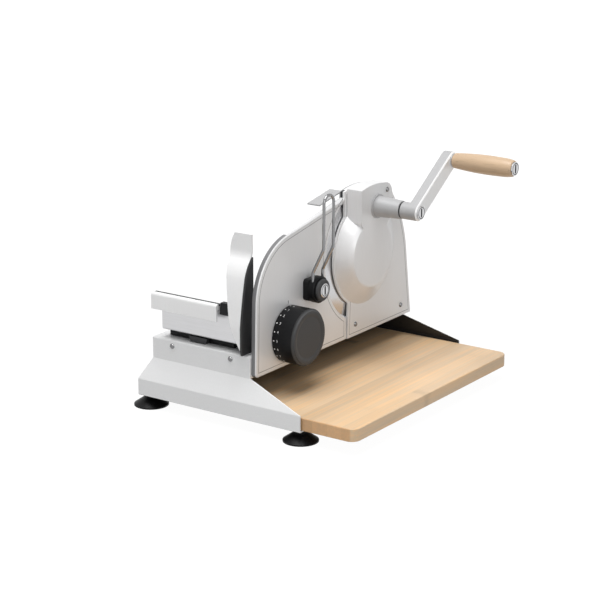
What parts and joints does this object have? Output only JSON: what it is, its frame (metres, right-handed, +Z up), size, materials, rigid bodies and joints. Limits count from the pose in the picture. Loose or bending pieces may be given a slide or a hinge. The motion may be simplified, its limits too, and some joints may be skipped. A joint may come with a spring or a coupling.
{
  "type": "hand crank meat slicer",
  "caption": "Hand-cranked food slicer with round blade, sliding carriage, thumb guard, thickness knob, wire deflector and a wooden board on a folded base with suction feet.",
  "frame": {"origin": "middle of the whole machine in plan, on the table under the feet", "axes": "+X towards the crank grip and the cutting board, +Y from the front lip to the rear, +Z up"},
  "size_m": [0.33, 0.3432, 0.2755],
  "materials": {
    "silver_sheet": "satin silver coat on folded steel sheet",
    "silver_casting": "satin anodised aluminium",
    "bare_sheet": "plain zinc coated steel",
    "bright_steel": "bright polished steel",
    "blade_steel": "ground and polished stainless steel",
    "steel_screw": "bright screw heads",
    "black_rubber": "soft black rubber",
    "dark_plastic": "fine-grained charcoal plastic",
    "grey_plastic": "dark grey plastic",
    "white_plastic": "smooth near-white plastic",
    "beech": "oiled beech",
    "bamboo": "laminated bamboo strips, oiled"
  },
  "bodies": {
    "base": {"base_cover": "silver_sheet", "base_front": "silver_sheet", "base_rear": "silver_sheet", "suction_feet": "black_rubber", "foot_screws": "steel_screw", "base_braces": "bare_sheet", "base_screws": "steel_screw", "carriage_rail": "bare_sheet", "rail_screws": "steel_screw", "gear_housing": "silver_casting", "gear_cover": "silver_casting", "housing_screws": "steel_screw", "head_screw": "steel_screw", "blade_guard": "silver_sheet", "bearing_tube": "silver_casting", "tube_bushes": "dark_plastic", "guide_bushes": "dark_plastic", "cam_follower": "steel_screw"},
    "crank": {"crank_shaft": "bright_steel", "crank_gear": "dark_plastic", "crank_seal": "dark_plastic", "crank_arm": "silver_casting", "crank_screw": "bright_steel", "grip_axle": "bright_steel", "grip_screw": "bright_steel"},
    "grip": {"crank_grip": "beech"},
    "blade": {"blade": "blade_steel", "blade_gear": "dark_plastic", "blade_shaft": "bright_steel"},
    "blade_lock": {"blade_lock": "dark_plastic"},
    "stop_plate": {"stop_plate": "silver_casting", "guide_rods": "bright_steel", "knob_spindle": "bright_steel", "deflector_base": "dark_plastic"},
    "thickness_knob": {"thickness_knob": "dark_plastic"},
    "deflector": {"deflector_knob": "dark_plastic", "deflector_wire": "bright_steel", "deflector_screw": "bright_steel"},
    "carriage": {"carriage_tray": "silver_sheet", "carriage_shoes": "dark_plastic", "carriage_handle": "silver_casting", "thumb_guard": "white_plastic", "guard_cheek": "grey_plastic", "guard_holder": "dark_plastic"},
    "board": {"cutting_board": "bamboo"}
  },
  "joints": [
    {"name": "crank_turn", "type": "hinge", "parent": "base", "child": "crank", "pos_m": [0.049, 0.0581, 0.21574], "axis": [1, 0, 0], "continuous": true},
    {"name": "grip_spin", "type": "hinge", "parent": "crank", "child": "grip", "pos_m": [0.119, 0.12914, 0.2642], "axis": [1, 0, 0], "continuous": true},
    {"name": "blade_spin", "type": "hinge", "parent": "base", "child": "blade", "pos_m": [0.001, 0.0636, 0.1575], "axis": [1, 0, 0], "continuous": true},
    {"name": "blade_lock_turn", "type": "hinge", "parent": "blade", "child": "blade_lock", "pos_m": [-0.001, 0.0636, 0.1575], "axis": [1, 0, 0], "range_deg": [0, 90]},
    {"name": "stop_plate_slide", "type": "slide", "parent": "base", "child": "stop_plate", "axis": [1, 0, 0], "range_m": [0, 0.014]},
    {"name": "thickness_knob_turn", "type": "hinge", "parent": "stop_plate", "child": "thickness_knob", "pos_m": [0.019, -0.0916, 0.0965], "axis": [1, 0, 0], "range_deg": [0, 330]},
    {"name": "deflector_swing", "type": "hinge", "parent": "stop_plate", "child": "deflector", "pos_m": [0.019, -0.0507, 0.14], "axis": [1, 0, 0], "range_deg": [-75, 50]},
    {"name": "carriage_slide", "type": "slide", "parent": "base", "child": "carriage", "axis": [0, 1, 0], "range_m": [0, 0.175]},
    {"name": "board_slide", "type": "slide", "parent": "base", "child": "board", "axis": [1, 0, 0], "range_m": [0, 0.175]}
  ],
  "couplings": [
    {"joint": "blade_spin", "follows": "crank_turn", "ratio": -0.56},
    {"joint": "stop_plate_slide", "follows": "thickness_knob_turn", "m_per_rad": 0.0024307}
  ]
}
